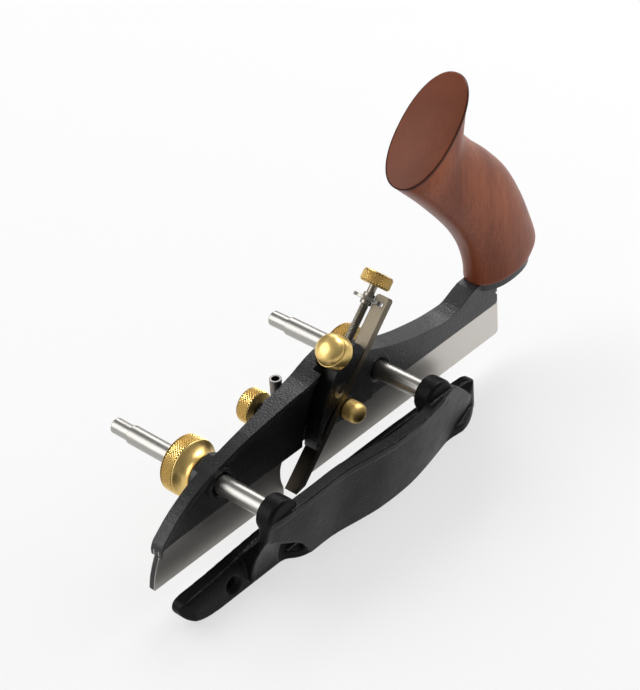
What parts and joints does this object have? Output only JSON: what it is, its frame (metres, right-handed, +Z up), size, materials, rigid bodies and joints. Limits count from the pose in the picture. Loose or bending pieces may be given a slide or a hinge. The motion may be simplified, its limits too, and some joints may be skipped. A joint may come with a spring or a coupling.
{
  "type": "plough plane",
  "caption": "Small grooving plane: thin skate, bevelled iron on a 45 degree bed, rod-mounted sliding fence, depth stop, brass knobs and a leaning wooden handle.",
  "frame": {"origin": "middle of the skate on the sole, where the front face of the iron meets the sole", "axes": "+X from the toe to the heel along the skate, +Y away from the fence towards the rod tips, +Z up off the sole"},
  "size_m": [0.2336, 0.0964, 0.1466],
  "materials": {
    "black_iron": "satin, faint cast texture",
    "wood": "satin oiled",
    "brass": "polished, knurled rims",
    "ground_steel": "ground",
    "bright_steel": "polished",
    "dark_steel": "satin"
  },
  "bodies": {
    "plane_body": {"body": "black_iron", "handle": "wood", "handle_insert": "brass", "handle_screw": "dark_steel", "handle_pin": "ground_steel", "lever_cap_screw": "dark_steel", "front_collet": "ground_steel", "rear_collet": "ground_steel", "depth_stop_pad": "brass"},
    "fence_unit": {"fence": "black_iron", "front_rod": "bright_steel", "rear_rod": "bright_steel"},
    "front_clamp": {"front_collet_knob": "brass"},
    "rear_clamp": {"rear_collet_knob": "brass"},
    "depth_stop": {"depth_stop_post": "dark_steel", "depth_stop_shoe": "black_iron", "depth_stop_shoe_screw": "dark_steel"},
    "depth_stop_clamp": {"depth_stop_knob": "brass"},
    "iron_unit": {"iron": "ground_steel", "adjuster_collar": "bright_steel"},
    "adjuster": {"adjuster_screw": "dark_steel", "adjuster_knob": "brass"},
    "cap": {"lever_cap": "black_iron"},
    "cap_stud": {"lever_cap_stud": "ground_steel"},
    "cap_knob": {"lever_cap_knob": "brass"},
    "side_clamp": {"side_clamp_screw": "brass"}
  },
  "joints": [
    {"name": "fence_slide", "type": "slide", "parent": "plane_body", "child": "fence_unit", "axis": [0, 1, 0], "range_m": [-0.028, 0.006]},
    {"name": "front_clamp_turn", "type": "hinge", "parent": "plane_body", "child": "front_clamp", "pos_m": [-0.0372, 0.012, 0.0276], "axis": [0, 1, 0], "range_deg": [0, 360]},
    {"name": "rear_clamp_turn", "type": "hinge", "parent": "plane_body", "child": "rear_clamp", "pos_m": [0.0535, 0.012, 0.0276], "axis": [0, 1, 0], "range_deg": [0, 360]},
    {"name": "depth_stop_slide", "type": "slide", "parent": "plane_body", "child": "depth_stop", "axis": [0, 0, 1], "range_m": [-0.014, 0]},
    {"name": "depth_stop_clamp_turn", "type": "hinge", "parent": "plane_body", "child": "depth_stop_clamp", "pos_m": [0.0078, 0.02, 0.0241], "axis": [0, 1, 0], "range_deg": [0, 360]},
    {"name": "iron_slide", "type": "slide", "parent": "plane_body", "child": "iron_unit", "axis": [0.7071, 0, 0.7071], "range_m": [-0.0021, 0.0021]},
    {"name": "adjuster_turn", "type": "hinge", "parent": "iron_unit", "child": "adjuster", "pos_m": [0.05622, 0.0042, 0.05692], "axis": [0.7071, 0, 0.7071], "range_deg": [-1080, 1080]},
    {"name": "cap_pivot", "type": "hinge", "parent": "plane_body", "child": "cap", "pos_m": [0.02793, 0, 0.03345], "axis": [0, 1, 0], "range_deg": [0, 3.1]},
    {"name": "cap_stud_slide", "type": "slide", "parent": "cap", "child": "cap_stud", "axis": [-0.7071, 0, 0.7071], "range_m": [0, 0.000694]},
    {"name": "cap_knob_turn", "type": "hinge", "parent": "cap_stud", "child": "cap_knob", "pos_m": [0.03132, -0.00175, 0.04829], "axis": [-0.7071, 0, 0.7071], "range_deg": [0, 250]},
    {"name": "side_clamp_turn", "type": "hinge", "parent": "plane_body", "child": "side_clamp", "pos_m": [0.03175, -0.005, 0.02199], "axis": [0, -1, 0], "range_deg": [0, 360]}
  ],
  "couplings": [
    {"joint": "adjuster_turn", "follows": "iron_slide", "rad_per_m": 8976},
    {"joint": "cap_knob_turn", "follows": "cap_stud_slide", "rad_per_m": 6283.2},
    {"joint": "cap_pivot", "follows": "cap_stud_slide", "rad_per_m": 77.519}
  ]
}
